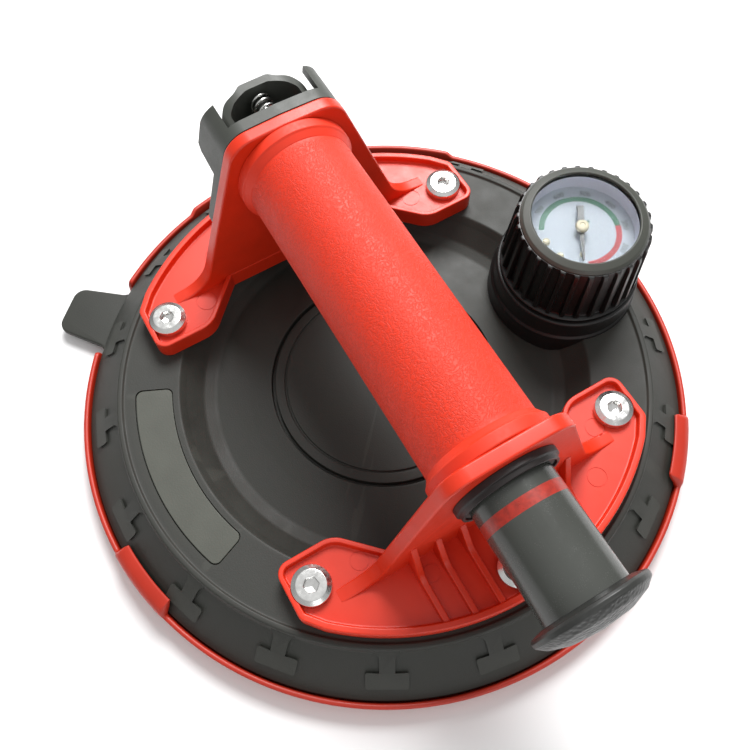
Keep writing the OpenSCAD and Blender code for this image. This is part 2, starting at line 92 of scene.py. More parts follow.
FLANGE_T, LIP_H = 4.5, 2.5                         # flange floor, and the border's height above it
FLANGE_TOP = RING_Z + FLANGE_T
LIP_TOP = FLANGE_TOP + LIP_H
TAB_ANGLE = -136.0                                 # direction of the pad's release tab
HEAD_R, BOLT_HOLE_R = 6.1, 3.2                     # bolt head, and the hole it stands over
BOLT_X, BOLT_Y = 50.7, span("bracket_bolts", 1)[1] - HEAD_R
MID_BOLT_X = span("bracket_bolts", 0)[1] - HEAD_R
BOLTS = [(sx * x, y) for sx in (-1, 1) for x, y in ((BOLT_X, BOLT_Y), (BOLT_X, -BOLT_Y), (MID_BOLT_X, 0))]


# ---- outlines ----

def rounded(points, steps=6, closed=True):
    """An outline whose points may carry a third value, the radius that rounds that corner."""
    out = []
    count = len(points)
    for i, point in enumerate(points):
        corner = Vector(point[:2])
        radius = point[2] if len(point) > 2 else 0
        at_end = not closed and i in (0, count - 1)
        if radius <= 0 or at_end:
            out.append(corner)
            continue
        back = (Vector(points[i - 1][:2]) - corner).normalized()
        ahead = (Vector(points[(i + 1) % count][:2]) - corner).normalized()
        half = math.acos(max(-1, min(1, back.dot(ahead)))) / 2
        centre = corner + (back + ahead).normalized() * radius / math.sin(half)
        start = corner + back * radius / math.tan(half) - centre
        end = corner + ahead * radius / math.tan(half) - centre
        first = math.atan2(start.y, start.x)
        turn = (math.atan2(end.y, end.x) - first + 3 * math.pi) % (2 * math.pi) - math.pi
        for k in range(steps + 1):
            angle = first + turn * k / steps
            out.append(centre + radius * Vector((math.cos(angle), math.sin(angle))))
    return out


def inset(outline, distance):
    """A counter-clockwise outline moved inwards, point by point. A clockwise one moves outwards."""
    out = []
    for i, point in enumerate(outline):
        before = (point - outline[i - 1]).normalized()
        after = (outline[(i + 1) % len(outline)] - point).normalized()
        normal_a = Vector((-before.y, before.x))
        normal_b = Vector((-after.y, after.x))
        out.append(point + (normal_a + normal_b) * distance / max(0.3, 1 + normal_a.dot(normal_b)))
    return out


def circle(radius, count, centre=(0, 0)):
    turn = 2 * math.pi / count
    return [Vector((centre[0] + radius * math.cos(turn * i), centre[1] + radius * math.sin(turn * i)))
            for i in range(count)]


def smooth_step(low, high, value):
    t = max(0, min(1, (value - low) / (high - low)))
    return t * t * (3 - 2 * t)


# ---- meshes ----

# These five place a shape's own (u, v, w) on the object. W is the axis of turned pieces and plates.
def along_x(u, v, w):
    return Vector((w, u, v))


def along_minus_x(u, v, w):
    return Vector((-w, u, v))


def along_z(u, v, w):
    return Vector((u, v, w))


def about_grip(u, v, w):
    return Vector((w, u, GRIP_Z + v))


def about_gauge(u, v, w):
    return Vector((GAUGE_X + u, GAUGE_Y + v, w))


def piece_from(name, rings, capped=True, looped=False, sharp=32):
    """A closed mesh lofted through rings of points that all have the same count."""
    mesh_data = bmesh.new()
    rows = [[mesh_data.verts.new(Vector(p) * MM) for p in ring] for ring in rings]
    pairs = list(zip(rows, rows[1:]))
    if looped:
        pairs.append((rows[-1], rows[0]))
    count = len(rings[0])
    for lower, upper in pairs:
        for i in range(count):
            j = (i + 1) % count
            mesh_data.faces.new((lower[i], lower[j], upper[j], upper[i]))
    if capped and not looped:
        mesh_data.faces.new(list(reversed(rows[0])))
        mesh_data.faces.new(rows[-1])
    bmesh.ops.remove_doubles(mesh_data, verts=mesh_data.verts, dist=1e-7)
    bmesh.ops.recalc_face_normals(mesh_data, faces=mesh_data.faces)
    mesh = bpy.data.meshes.new(name)
    mesh_data.to_mesh(mesh)
    mesh_data.free()
    piece = bpy.data.objects.new(name, mesh)
    bpy.context.scene.collection.objects.link(piece)
    shade(piece, sharp)
    return piece


def shade(piece, sharp=32):
    """Smooth shading that keeps edges steeper than the given angle."""
    piece.data.polygons.foreach_set("use_smooth", [True] * len(piece.data.polygons))
    piece.data.set_sharp_from_angle(angle=math.radians(sharp))


def turned(name, profile, place=along_z, segments=128, closed=False):
    """A turned piece from a profile of (radius, height) points. An open one starts and ends on the axis."""
    rings = []
    for radius, height in profile:
        rings.append([place(p.x, p.y, height) for p in circle(max(radius, 0), segments)])
    return piece_from(name, rings, capped=False, looped=closed)


def plate(name, outline, low, high, place=along_z, edge=0.6, steps=4):
    """A flat plate between two heights, with both edges rounded."""
    levels = []
    for k in range(steps + 1):
        angle = math.pi / 2 * k / steps
        levels.append((edge * (1 - math.sin(angle)), low + edge * (1 - math.cos(angle))))
    levels += [(distance, low + high - height) for distance, height in reversed(levels)]
    rings = [[place(p.x, p.y, height) for p in inset(outline, distance)] for distance, height in levels]
    return piece_from(name, rings)


def combine(base, union=(), cut=(), common=(), sharp=32):
    """Base joined with the union pieces, less the cut pieces, as one solid."""
    groups = (("UNION", union), ("DIFFERENCE", cut), ("INTERSECT", common))
    for operation, tools in groups:
        for tool in tools:
            step = base.modifiers.new(operation, "BOOLEAN")
            step.operation = operation
            step.object = tool
            step.solver = "EXACT"
    apply_modifiers(base)
    for operation, tools in groups:
        for tool in tools:
            bpy.data.objects.remove(tool)
    shade(base, sharp)
    return base


def apply_modifiers(piece):
    depsgraph = bpy.context.evaluated_depsgraph_get()
    mesh = bpy.data.meshes.new_from_object(piece.evaluated_get(depsgraph))
    piece.modifiers.clear()
    piece.data = mesh


def fillet(piece, width, angle=48, segments=3):
    """Rounds the edges that are still sharp, such as those where two parts of a moulding meet."""
    step = piece.modifiers.new("fillet", "BEVEL")
    step.width = width * MM
    step.segments = segments
    step.limit_method = "ANGLE"
    step.angle_limit = math.radians(angle)
    step.use_clamp_overlap = True
    step.miter_outer = "MITER_ARC"
    apply_modifiers(piece)
    shade(piece, 40)
    return piece


def soften(node, width, segments=2, angle=35):
    """Rounds the sharp edges of a CAD node with modifiers, and leaves its own mesh alone."""
    piece = frame["nodes"][node]
    weld = piece.modifiers.new("weld", "WELD")
    weld.merge_threshold = 2e-6
    flat = piece.modifiers.new("flat", "DECIMATE")
    flat.decimate_type = "DISSOLVE"
    flat.angle_limit = math.radians(0.4)
    bevel = piece.modifiers.new("bevel", "BEVEL")
    bevel.width = width * MM
    bevel.segments = segments
    bevel.limit_method = "ANGLE"
    bevel.angle_limit = math.radians(angle)
    weighted = piece.modifiers.new("normals", "WEIGHTED_NORMAL")
    weighted.keep_sharp = False
    return piece


def finish_piece(piece, body, slot, *nodes, material=None, weigh=True):
    """Gives a piece its slot's material, or another one by name, and ties it to the frame."""
    piece.data.materials.clear()
    piece.data.materials.append(MATERIALS[material or slot])
    if weigh:
        weighted = piece.modifiers.new("normals", "WEIGHTED_NORMAL")
        weighted.keep_sharp = True
    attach(piece, body)
    if nodes:
        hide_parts(*nodes)
    return piece


# ---- materials ----

def linear(red, green, blue):
    """A display colour from 0 to 255 as the linear colour that a shader takes."""
    parts = [c / 255 for c in (red, green, blue)]
    return [c / 12.92 if c <= 0.04045 else ((c + 0.055) / 1.055) ** 2.4 for c in parts] + [1]


class Nodes:
    """A material's node tree, with short ways to add and join its nodes."""

    def __init__(self, name):
        self.material = bpy.data.materials.new(name)
        self.material.use_nodes = True
        self.tree = self.material.node_tree
        self.shader = self.tree.nodes["Principled BSDF"]
        self.place = self.add("ShaderNodeTexCoord").outputs["Object"]

    def add(self, kind, **settings):
        node = self.tree.nodes.new(kind)
        for key, value in settings.items():
            if hasattr(node, key):
                setattr(node, key, value)
            else:
                node.inputs[key.replace("_", " ")].default_value = value
        return node

    def join(self, source, target):
        self.tree.links.new(source, target)

    def separate_x(self):
        """The x coordinate of the surface point."""
        node = self.add("ShaderNodeSeparateXYZ")
        self.join(self.place, node.inputs[0])
        return node.outputs[0]

    def noise(self, size, detail=3, rough=0.5):
        """Noise whose lumps are about that many millimetres across."""
        node = self.add("ShaderNodeTexNoise", Scale=1 / (size * MM), Detail=detail, Roughness=rough)
        self.join(self.place, node.inputs["Vector"])
        return node.outputs[0]

    def cells(self, size):
        """Soft round cells about that many millimetres across."""
        node = self.add("ShaderNodeTexVoronoi", feature="SMOOTH_F1", Scale=1 / (size * MM))
        self.join(self.place, node.inputs["Vector"])
        return node.outputs["Distance"]

    def spread(self, value, low, high, from_low=0.3, from_high=0.7):
        """A value stretched from one range to another, and held at its ends."""
        node = self.add("ShaderNodeMapRange", From_Min=from_low, From_Max=from_high,
                        To_Min=low, To_Max=high)
        self.join(value, node.inputs["Value"])
        return node.outputs[0]

    def mix(self, share, first, second):
        """A blend of two colours, each a list or another node's output."""
        node = self.add("ShaderNodeMix", data_type="RGBA")
        self.join(share, node.inputs[0])
        for value, socket in ((first, node.inputs[6]), (second, node.inputs[7])):
            if isinstance(value, list):
                socket.default_value = value
            else:
                self.join(value, socket)
        return node.outputs[2]

    def math(self, operation, first, second):
        """A sum done on two values, each a number or another node's output."""
        node = self.add("ShaderNodeMath", operation=operation)
        for value, socket in ((first, node.inputs[0]), (second, node.inputs[1])):
            if isinstance(value, (int, float)):
                socket.default_value = value
            else:
                self.join(value, socket)
        return node.outputs[0]

    def bump(self, height, depth, strength=1.0, below=None):
        """A bump of about that many millimetres, on top of another one."""
        node = self.add("ShaderNodeBump", Strength=strength, Distance=depth * MM)
        self.join(height, node.inputs["Height"])
        if below:
            self.join(below, node.inputs["Normal"])
        return node.outputs[0]


def shades(colour, spread=0.12):
    """A darker and a lighter version of a linear colour."""
    dark = [c * (1 - spread) for c in colour[:3]] + [1]
    light = [min(1, c * (1 + spread)) for c in colour[:3]] + [1]
    return dark, light


def moulded(name, colour, roughness, mottle=14, spread=0.07, grain=0.35, depth=0.012, edge=0.25):
    """Injection-moulded plastic: faint cloudy colour, fine spark-eroded grain, and convex edges painted
    lighter as a painted highlight.
    """
    nodes = Nodes(name)
    dark, light = shades(colour, spread)
    base = nodes.mix(nodes.spread(nodes.noise(mottle), 0, 1), dark, light)
    # Painted highlight: convex edges, found by pointiness, are mixed towards a lighter colour; edge sets
    # its strength.
    edge_highlight = nodes.spread(nodes.add("ShaderNodeNewGeometry").outputs["Pointiness"], 0, edge, 0.52, 0.62)
    highlight_colour = [min(1, c * 1.35 + 0.02) for c in colour[:3]] + [1]
    nodes.join(nodes.mix(edge_highlight, base, highlight_colour), nodes.shader.inputs["Base Color"])
    fine = nodes.noise(grain, detail=2)
    scuffs = nodes.noise(5, detail=6, rough=0.7)
    rough = nodes.math("ADD", nodes.spread(fine, roughness - 0.05, roughness + 0.05),
                       nodes.spread(scuffs, -0.05, 0.06))
    nodes.join(rough, nodes.shader.inputs["Roughness"])
    broad = nodes.bump(nodes.noise(9, detail=1), 0.03, 0.5)
    nodes.join(nodes.bump(fine, depth, 1, broad), nodes.shader.inputs["Normal"])
    return nodes.material


def leather_grip(name, colour, roughness):
    """Red plastic with a moulded wrinkle grain whose creases are painted darker as painted shade; the grain
    fades out where the smooth collars begin.
    """
    nodes = Nodes(name)
    dark, light = shades(colour, 0.1)
    folds = nodes.math("ABSOLUTE", nodes.math("SUBTRACT", nodes.noise(0.85, detail=2), 0.5), 0)
    reach = nodes.math("ABSOLUTE", nodes.separate_x(), 0)
    collar = nodes.spread(reach, 0, 1, (UPRIGHT_IN - 7.5) * MM, (UPRIGHT_IN - 5.6) * MM)
    # Painted shade: the wrinkle creases take the darker red, and the same lines give the bump its height.
    crease_height_and_shade = nodes.math("MAXIMUM", nodes.spread(folds, 0, 1, 0.0, 0.09), collar)
    nodes.join(nodes.mix(crease_height_and_shade, dark, light), nodes.shader.inputs["Base Color"])
    nodes.join(nodes.spread(nodes.noise(1.2), roughness - 0.06, roughness + 0.06),
               nodes.shader.inputs["Roughness"])
    fine = nodes.bump(nodes.noise(0.4, detail=2), 0.008)
    nodes.join(nodes.bump(crease_height_and_shade, 0.085, 0.9, fine), nodes.shader.inputs["Normal"])
    return nodes.material


def rubber(name, colour, roughness, pebble=0.45, depth=0.05):
    """Moulded rubber: pebbly skin, uneven gloss, lighter dusty patches, and convex edges painted lighter as
    a painted highlight.
    """
    nodes = Nodes(name)
    dark, light = shades(colour, 0.16)
    cloud = nodes.noise(11, detail=5, rough=0.6)
    base = nodes.mix(nodes.spread(cloud, 0, 1), dark, light)
    dust = nodes.spread(nodes.noise(1.1, detail=6, rough=0.75), 0, 0.5, 0.62, 0.8)
    # One lighter colour serves both the dust patches and the painted highlight on the edges.
    dust_and_highlight_colour = [min(1, c * 1.7 + 0.006) for c in colour[:3]] + [1]
    base = nodes.mix(dust, base, dust_and_highlight_colour)
    # Painted highlight: convex edges, found by pointiness, are mixed towards the lighter colour.
    edges = nodes.spread(nodes.add("ShaderNodeNewGeometry").outputs["Pointiness"], 0, 0.5, 0.52, 0.6)
    nodes.join(nodes.mix(edges, base, dust_and_highlight_colour), nodes.shader.inputs["Base Color"])
    nodes.join(nodes.spread(cloud, roughness - 0.06, roughness + 0.06), nodes.shader.inputs["Roughness"])
    pebbles = nodes.noise(pebble, detail=3, rough=0.6)
    waves = nodes.bump(nodes.noise(7, detail=2), 0.08, 0.6)
    nodes.join(nodes.bump(pebbles, depth, 0.9, waves), nodes.shader.inputs["Normal"])
    return nodes.material


def pebbled(name, colour, roughness):
    """Black plastic with a coarse pebble grain on the face of the knob."""
    nodes = Nodes(name)
    dark, light = shades(colour, 0.12)
    pebbles = nodes.cells(0.95)
    nodes.join(nodes.mix(nodes.spread(pebbles, 0, 1, 0.1, 0.8), light, dark),
               nodes.shader.inputs["Base Color"])
    nodes.join(nodes.spread(nodes.noise(2), roughness - 0.07, roughness + 0.07),
               nodes.shader.inputs["Roughness"])
    face = nodes.spread(nodes.separate_x(), 0, 1, (KNOB_IN + 2.4) * MM, (KNOB_IN + 3.2) * MM)
    height = nodes.math("MULTIPLY", pebbles, face)
    fine = nodes.bump(nodes.noise(0.25), 0.01)
    nodes.join(nodes.bump(height, 0.24, 1, fine), nodes.shader.inputs["Normal"])
    return nodes.material


def turned_metal(name, colour, roughness, ring=0.22, radial=False):
    """Turned, plated metal with small tarnish spots and, if asked, fine lathe rings round its own axis."""
    nodes = Nodes(name)
    nodes.shader.inputs["Metallic"].default_value = 1
    dark, light = shades(colour, 0.1)
    nodes.join(nodes.mix(nodes.spread(nodes.noise(2.5, detail=5), 0, 1), dark, light),
               nodes.shader.inputs["Base Color"])
    nodes.join(nodes.spread(nodes.noise(1.4, detail=6, rough=0.7), roughness - 0.06, roughness + 0.1),
               nodes.shader.inputs["Roughness"])
    scratch = nodes.noise(0.5, detail=4, rough=0.6)
    if radial:
        rings = nodes.add("ShaderNodeTexWave", wave_type="RINGS", rings_direction="Z",
                          Scale=1 / (ring * 6 * MM), Distortion=0.6)
        nodes.join(nodes.place, rings.inputs["Vector"])
        below = nodes.bump(rings.outputs[1], 0.006, 0.8)
    else:
        below = nodes.bump(nodes.noise(0.2), 0.004)
    nodes.join(nodes.bump(scratch, 0.006, 0.5, below), nodes.shader.inputs["Normal"])
    return nodes.material


def printed(name, colour, spread=0.08):
    """Screen-printed ink with slightly uneven cover."""
    nodes = Nodes(name)
    dark, light = shades(colour, spread)
    nodes.join(nodes.mix(nodes.spread(nodes.noise(0.4, detail=4), 0, 1), dark, light),
               nodes.shader.inputs["Base Color"])
    nodes.join(nodes.spread(nodes.noise(1), 0.45, 0.6), nodes.shader.inputs["Roughness"])
    return nodes.material


def clear_lens(name):
    """The gauge's clear plastic lens, with faint wipe marks in its gloss."""
    nodes = Nodes(name)
    nodes.shader.inputs["Base Color"].default_value = (0.97, 0.985, 1, 1)
    nodes.shader.inputs["IOR"].default_value = 1.05
    nodes.shader.inputs["Transmission Weight"].default_value = 1
    nodes.join(nodes.spread(nodes.noise(6, detail=5), 0.0, 0.03), nodes.shader.inputs["Roughness"])
    nodes.join(nodes.bump(nodes.noise(12, detail=1), 0.01, 0.2), nodes.shader.inputs["Normal"])
    return nodes.material


RED = linear(216, 46, 12)
MATERIALS = {
    # The cover's convex edges get a stronger painted highlight.
    "cover_red": moulded("cover_red", linear(182, 42, 20), 0.42, edge=0.35),
    "pad_rubber": rubber("pad_rubber", linear(43, 44, 39), 0.6),
    # Near-black rubber for the gauge's pedestal: partly its own darker colour, partly painted shade where
    # the gauge case shadows it.
    "boss_rubber": rubber("boss_rubber", linear(15, 15, 14), 0.5, pebble=0.3, depth=0.02),
    "panel_grey": moulded("panel_grey", linear(72, 74, 66), 0.5, mottle=9, grain=0.5, depth=0.03),
    "zinc_steel": turned_metal("zinc_steel", linear(196, 198, 200), 0.35),
    "insert_brass": turned_metal("insert_brass", linear(205, 165, 95), 0.35),
    "bracket_red": moulded("bracket_red", RED, 0.4),
    "bolt_steel": turned_metal("bolt_steel", linear(228, 228, 226), 0.2, radial=True),
    "grip_red": leather_grip("grip_red", RED, 0.56),
    "pump_black": moulded("pump_black", linear(28, 22, 21), 0.5),
    "seal_rubber": rubber("seal_rubber", linear(34, 33, 32), 0.6, pebble=0.3, depth=0.02),
    "plunger_black": moulded("plunger_black", linear(62, 64, 60), 0.22, mottle=20, grain=0.3, depth=0.006),
    "band_red": moulded("band_red", linear(150, 36, 22), 0.34, mottle=1.2, spread=0.3),
    "knob_black": pebbled("knob_black", linear(44, 45, 43), 0.4),
    "inner_plastic": moulded("inner_plastic", linear(150, 150, 145), 0.45),
    "spring_steel": turned_metal("spring_steel", linear(215, 215, 212), 0.22),
    "valve_grey": moulded("valve_grey", linear(66, 68, 63), 0.48),
    "button_grey": moulded("button_grey", linear(66, 68, 63), 0.46, mottle=6),
    "gauge_black": moulded("gauge_black", linear(12, 12, 11), 0.38),
    "liner_white": moulded("liner_white", linear(200, 202, 212), 0.4, spread=0.04),
    "bezel_grey": moulded("bezel_grey", linear(62, 64, 58), 0.42),
    "lens_clear": clear_lens("lens_clear"),
    "dial_white": printed("dial_white", linear(180, 188, 195), 0.02),
    "pin_ivory": moulded("pin_ivory", linear(214, 205, 176), 0.4, mottle=1.5),
    "pointer_grey": moulded("pointer_grey", linear(84, 85, 83), 0.4, mottle=2),
    "scale_red": printed("scale_red", linear(158, 50, 54)),
    "scale_green": printed("scale_green", linear(68, 112, 92)),
    "scale_ink": printed("scale_ink", linear(84, 87, 88)),
}


# ---- pad and cover ----

BAND_IN, BAND_TOP = 89.0, RING_Z - 1.6             # inner edge of the sloping band
BAND_OUT, BAND_LOW = PAD_R, 7.0                    # and its outer edge
BAND_ALONG = Vector((BAND_OUT - BAND_IN, BAND_LOW - BAND_TOP)).normalized()
BAND_UP = Vector((-BAND_ALONG.y, BAND_ALONG.x))
LABEL = (70.5, 82.3, -115, -68.5)                  # radii and angles of the label's four sides
T_MARKS, T_MARK_START = 18, 10                     # how many there are, and the first one's angle


def polar(radius, angle, height):
    turn = math.radians(angle)
    return Vector((radius * math.cos(turn), radius * math.sin(turn), height))


def on_band(centre_angle):
    """A placing function for pieces on the sloping band: across, down the slope, and out of it."""
    def place(across, down, out):
        point = Vector((BAND_IN, BAND_TOP)) + BAND_ALONG * down + BAND_UP * out
        return polar(point.x, centre_angle + math.degrees(across / point.x), point.y)
    return place


def t_mark(index):
    """One of the raised T marks round the sloping band. Its stem flares where it leaves the ridge."""
    half = [(3.4, -1.0), (2.1, 1.0, 2), (2.0, 7.2, 0.5), (6.15, 7.2, 0.4), (6.15, 12.6, 0.6)]
    outline = rounded([(-x, *rest) for x, *rest in half] + list(reversed(half)), steps=4)
    place = on_band(T_MARK_START + 360 / T_MARKS * index)
    levels = ((0, -1.2), (0, 0.5), (0.12, 0.66), (0.32, 0.72))  # inset, and height out of the band
    rings = [[place(p.x, p.y, out) for p in inset(outline, distance)] for distance, out in levels]
    return piece_from(f"t_mark_{index}", rings)


def sector(name, inner, outer, first, last, low, high, corner, edge, grow=0.0):
    """A slab that follows the ring between two angles, with rounded corners."""
    middle = (inner + outer) / 2
    length = math.radians(last - first) * middle / 2 + grow
    half = (outer - inner) / 2 + grow
    box = [(-half, -length, corner), (half, -length, corner),
           (half, length, corner), (-half, length, corner)]
    outline = []
    corners = rounded(box, steps=6)
    for i, point in enumerate(corners):
        after = corners[(i + 1) % len(corners)]
        pieces = max(1, int((after - point).length / 1.5))
        outline += [point.lerp(after, k / pieces) for k in range(pieces)]

    def place(across, around, height):
        return polar(middle + across, (first + last) / 2 + math.degrees(around / middle), height)
    return plate(name, outline, low, high, place, edge=edge, steps=3)


def make_pad():
    """The rubber pad with its tab and T marks, and the gauge's pedestal as a piece of its own."""
    profile = rounded([
        (0, 11), (61, 11, 2), (67.8, 17.5, 2), (85, 17.5), (85, 15.5), (86, 14.8, 1), (92, 9.2, 4),
        (97.6, 2.7, 1), (98.2, 2, 0.3), (PAD_R, 2, 0.5), (BAND_OUT, BAND_LOW, 1.2),
        (BAND_IN, BAND_TOP, 1.2), (88.5, RING_Z + 0.75, 0.7), (86.9, RING_Z + 0.75, 0.7),
        (86.3, RING_Z, 0.8), (85.2, RING_Z), (69.6, RING_Z), (68.2, RING_Z, 1.2),
        (66.2, RING_Z - 2.2, 1.5), (61.3, 14.2, 3), (57.5, 12.9, 4), (46, 14.2, 6), (39, 15.12),
        (38.3, 15.2, 0.2), (38.2, 13.0, 0.2), (37.1, 13.0, 0.2), (37.0, 15.25, 0.2), (36.2, 15.32),
        (34.6, 15.45), (33.9, 15.5, 0.2), (33.8, 14.95, 0.12),
        (33.2, 14.95, 0.12), (33.1, 15.6, 0.2), (32.4, 15.62), (23.4, 15.85), (23.2, 15.86), (0, 16.1)],
        steps=5, closed=False)
    pad = turned("rubber_pad_moulding", profile, segments=360)
    boss = turned("gauge_boss", rounded([
        (0, 6), (25.2, 6), (25.2, 20.5), (25.1, RING_Z + 0.9, 0.5), (24.3, RING_Z + 1.8, 1.0),
        (24.1, BOSS_TOP - 0.1, 0.9), (0, BOSS_TOP - 0.1)], steps=5, closed=False), about_gauge)
    turn = Matrix.Rotation(math.radians(TAB_ANGLE), 3, "Z")
    tab_line = rounded([(93, -13.4), (100.5, -12.6, 3), (103.6, -10.9, 3), (121.5, -8.8, 4.5),
                        (121.5, 8.8, 4.5), (103.6, 10.9, 3), (100.5, 12.6, 3), (93, 13.4)], steps=7)
    tab = plate("tab", tab_line, 2.6, 5.0, lambda u, v, w: turn @ Vector((u, v, w)), edge=0.7)
    marks = [t_mark(i) for i in range(T_MARKS)]
    pocket = sector("pocket", *LABEL, RING_Z - 0.9, RING_Z + 2, 2.3, 0.05, grow=0.3)
    combine(pad, union=[tab] + marks, cut=[pocket])
    # The pedestal takes the near-black rubber, which is partly its own colour and partly painted shade.
    finish_piece(boss, "body", "pad_rubber", "rubber_pad", material="boss_rubber")
    return finish_piece(pad, "body", "pad_rubber", "rubber_pad", weigh=False)


def make_label():
    panel = sector("label_panel_blank", *LABEL, RING_Z - 0.9, RING_Z - 0.08, 2.2, 0.22)
    return finish_piece(panel, "body", "panel_grey", "label_panel")


# Cover rim sections, all with the same points: plain, with a hook that leans in, and raised outwards
RIM_PLAIN = [(100.6, 0.6), (102.4, 0), (103.2, 0.3), (103.5, 1.0), (103.7, 4.4), (104, 7.2), (103.85, 7.65),
             (103.4, 7.85), (102.9, 7.85), (102.45, 7.65), (102.3, 7.2), (101.9, 4.4), (101.85, 1.2)]
RIM_HOOK = [(100.6, 0.6), (102.4, 0), (103.2, 0.3), (103.5, 1.0), (103.9, 6.0), (104.1, 8.8), (103.5, 10.0),
            (101.8, 11.2), (99.4, 12.0), (98.7, 11.9), (98.5, 11.4), (102.1, 8.2), (101.85, 1.2)]
RIM_RAISED = [(100.6, 0.6), (102.4, 0), (103.2, 0.3), (103.6, 1.0), (104.8, 5.0), (105, 8.1),
              (104.85, 8.45), (104.5, 8.6), (103.9, 8.6), (103.5, 8.45), (103.3, 8.1), (102.3, 6.0),
              (101.85, 1.2)]
RIM_DRAWN_R = 104                                  # the sections above are drawn for this radius
HOOKS = ((-86, -72), (39.5, 53))                   # first and last angle of each hook
RAISED = ((135, 159), (171, 195))
GAP = 7.6                                          # half of the gap that the tab comes through


def rim_section(angle):
    """The rim's section at an angle, blended over the ends of each hook and raised stretch."""
    section = [Vector(p) for p in RIM_PLAIN]
    for spans, target, soft in ((HOOKS, RIM_HOOK, 0.9), (RAISED, RIM_RAISED, 2.0)):
        for first, last in spans:
            share = smooth_step(first - soft / 2, first + soft / 2, angle)
            share *= 1 - smooth_step(last - soft / 2, last + soft / 2, angle)
            section = [p.lerp(Vector(q), share) for p, q in zip(section, target)]
    scale = COVER_R / RIM_DRAWN_R
    return [Vector((p.x * scale, p.y)) for p in section]


def make_cover():
    """The tray that clips on under the pad: a rim whose wall curves down at the tab's gap, and a floor."""
    first, last = TAB_ANGLE + GAP, TAB_ANGLE - GAP + 360
    rings = []
    steps = 900
    for i in range(steps + 1):
        angle = first + (last - first) * i / steps
        section = rim_section(angle)
        end = min(angle - first, last - angle)
        drop = 1 - math.sqrt(max(0, 1 - max(0, 1 - end / 1.1) ** 2))
        rings.append([polar(p.x, angle, p.y * (1 - 0.75 * drop)) for p in section])
    rim = piece_from("pad_cover_shell", rings, sharp=50)
    floor = turned("floor", rounded([(0, 0), (101.8, 0), (101.8, 2, 0.4), (0, 2)], steps=3, closed=False),
                   segments=360)
    combine(rim, union=[floor], sharp=50)
    return finish_piece(rim, "cover", "cover_red", "pad_cover")


# ---- brackets ----

UPRIGHT_LINE = [(49, FLANGE_TOP - 1.5), (49, FLANGE_TOP + 0.1), (37.6, 27.4, 12), (17.3, 84.9, 9)]
LIP_W, SIDE_LIP_W = 2.2, 1.6                       # border along the round edge, and along the others


def flange_outline():
    """The flange seen from above: a curved edge that follows the pad, and a straight-sided foot."""
    half = [(54.8, -28.5), (40.8, -42.4, 9), (40.8, -61.8, 4.2), (57.6, -61.8, 3.2)]
    reach = 42
    arc = [(FLANGE_R * math.cos(math.radians(a)), FLANGE_R * math.sin(math.radians(a)))
           for a in [-reach + 2 * reach * i / 48 for i in range(49)]]
    other = [(x, -y, *rest) for x, y, *rest in reversed(half)]
    return rounded(half + arc + other, steps=7)


def flange(side):
    """The flange: a floor with a border round it, wider along the round edge."""
    outline = flange_outline()
    quarter = [math.pi / 2 * i / 5 for i in range(6)]
    section = [(0.4 * (1 - math.sin(a)), RING_Z + 0.4 * (1 - math.cos(a))) for a in (0, 0.8, math.pi / 2)]
    section += [(0.6 - 0.6 * math.cos(a), LIP_TOP - 0.6 + 0.6 * math.sin(a)) for a in quarter]
    section += [(LIP_W - 0.5 + 0.5 * math.sin(a), LIP_TOP - 0.5 + 0.5 * math.cos(a)) for a in quarter]
    section += [(LIP_W + 0.1, FLANGE_TOP + 0.5), (LIP_W + 0.4, FLANGE_TOP + 0.12),
                (LIP_W + 0.9, FLANGE_TOP)]
    rings = []
    for distance, height in section:
        ring = []
        for point, moved in zip(outline, inset(outline, distance)):
            share = smooth_step(FLANGE_R - 3, FLANGE_R - 0.6, point.length)
            width = SIDE_LIP_W + (LIP_W - SIDE_LIP_W) * share
            spot = point.lerp(moved, width / LIP_W)
            ring.append(Vector((side * spot.x, spot.y, height)))
        rings.append(ring)
    return piece_from("flange", rings)


def upright(side):
    half = list(UPRIGHT_LINE)
    line = half + [(0, UPRIGHT_TOP, 30)] + [(-p[0], *p[1:]) for p in reversed(half)]
    place = along_x if side > 0 else along_minus_x
    return plate("upright", rounded(line, steps=10), UPRIGHT_IN, UPRIGHT_OUT, place, edge=0.7)


def rib(y, top):
    """A stiffening rib from the upright's foot down to the border."""
    end = math.sqrt(FLANGE_R ** 2 - (abs(y) + 1) ** 2) - 1.5
    line = rounded([(UPRIGHT_OUT - 1, RING_Z + 1), (end, RING_Z + 1), (end, FLANGE_TOP + 1.8),
                    (UPRIGHT_OUT + 6, FLANGE_TOP + 3.4, 5), (UPRIGHT_OUT + 0.2, top),
                    (UPRIGHT_OUT - 1, top)], steps=5)
    return plate("rib", line, y - 1.05, y + 1.05, lambda u, v, w: Vector((u, w, v)), edge=0.45, steps=3)


def post(radius, low, high, place=along_z, centre=(0, 0), segments=64):
    """A plain round bar, mostly used to cut holes."""
    rings = [[place(p.x, p.y, height) for p in circle(radius, segments, centre)] for height in (low, high)]
    return piece_from("post", rings)


def ejector_mark(x, y, radius):
    """The thin ring that an ejector pin leaves on the flange floor."""
    low, high = FLANGE_TOP - 0.16, FLANGE_TOP + 0.6
    ring = [(radius, low), (radius, high), (radius - 0.28, high), (radius - 0.28, low)]
    return turned("mark", ring, lambda u, v, w: Vector((x + u, y + v, w)), segments=72, closed=True)


def bracket(name, side, ribs, holes, ejectors):
    """One bracket: flange, upright and ribs joined and rounded, then its bolt holes and marks cut."""
    piece = flange(side)
    centres = [centre for centre in BOLTS if centre[0] * side > 0]
    bolts = [post(BOLT_HOLE_R, 10, 40, centre=centre) for centre in centres]
    spots = [post(HEAD_R + 0.12, FLANGE_TOP - 0.05, 40, centre=centre, segments=128) for centre in centres]
    marks = [ejector_mark(side * x, y, radius) for x, y, radius in ejectors]
    combine(piece, union=[upright(side)] + [rib(y, top) for y, top in ribs])
    fillet(piece, 0.5)
    combine(piece, cut=bolts + spots + holes + marks)
    piece.name = name
    return piece


